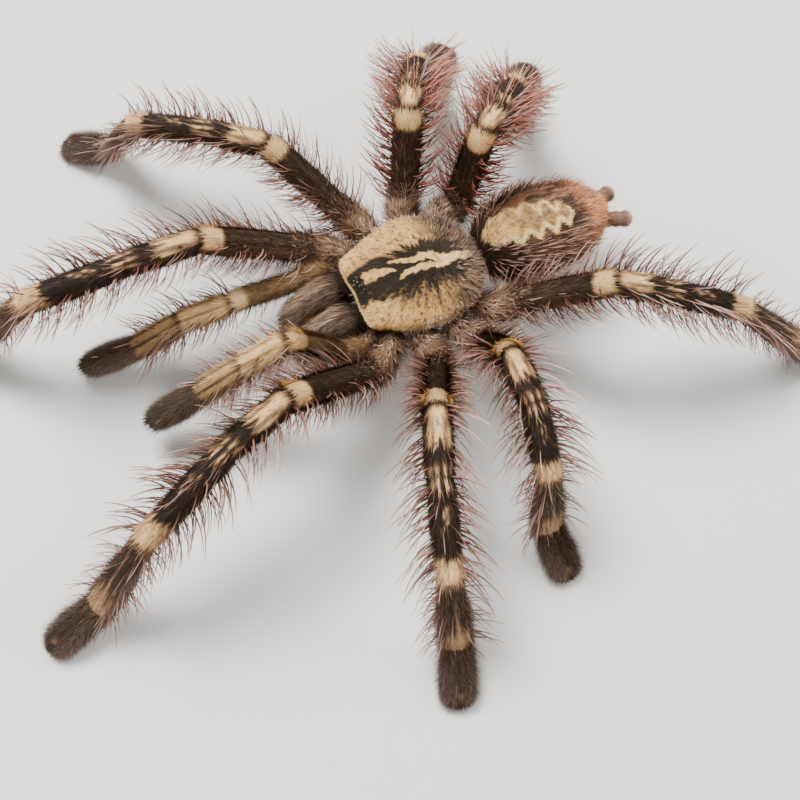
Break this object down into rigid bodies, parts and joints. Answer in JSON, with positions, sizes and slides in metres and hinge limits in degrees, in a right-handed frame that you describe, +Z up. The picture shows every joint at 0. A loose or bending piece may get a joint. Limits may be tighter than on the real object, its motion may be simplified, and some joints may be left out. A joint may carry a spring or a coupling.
{
  "type": "tarantula specimen",
  "caption": "Dried tarantula, legs and palps spread as if walking, standing on its feet, with banded bristly legs and a patterned abdomen.",
  "frame": {"origin": "on the floor under the middle of the bounding box", "axes": "+Z up, head towards -Y, the animal's left side towards +X"},
  "size_m": [0.115, 0.138, 0.0302],
  "materials": {
    "carapace_coat": "short cream hair on the skin",
    "abdomen_coat": "tan and pinkish hair on the skin",
    "leg_coat": "dark brown hair with cream bands",
    "jaw_coat": "grey-brown brushed hair",
    "spinneret_skin": "pinkish skin with fine hair",
    "fang_horn": "polished black horn"
  },
  "bodies": {
    "root": {"cephalothorax": "carapace_coat", "abdomen": "abdomen_coat", "chelicera_left": "jaw_coat", "chelicera_right": "jaw_coat", "fang_left": "fang_horn", "fang_right": "fang_horn", "palp_left": "leg_coat", "palp_right": "leg_coat", "leg_1_left": "leg_coat", "leg_1_right": "leg_coat", "leg_2_left": "leg_coat", "leg_2_right": "leg_coat", "leg_3_left": "leg_coat", "leg_3_right": "leg_coat", "leg_4_left": "leg_coat", "leg_4_right": "leg_coat", "spinneret_left": "spinneret_skin", "spinneret_right": "spinneret_skin"}
  },
  "joints": []
}
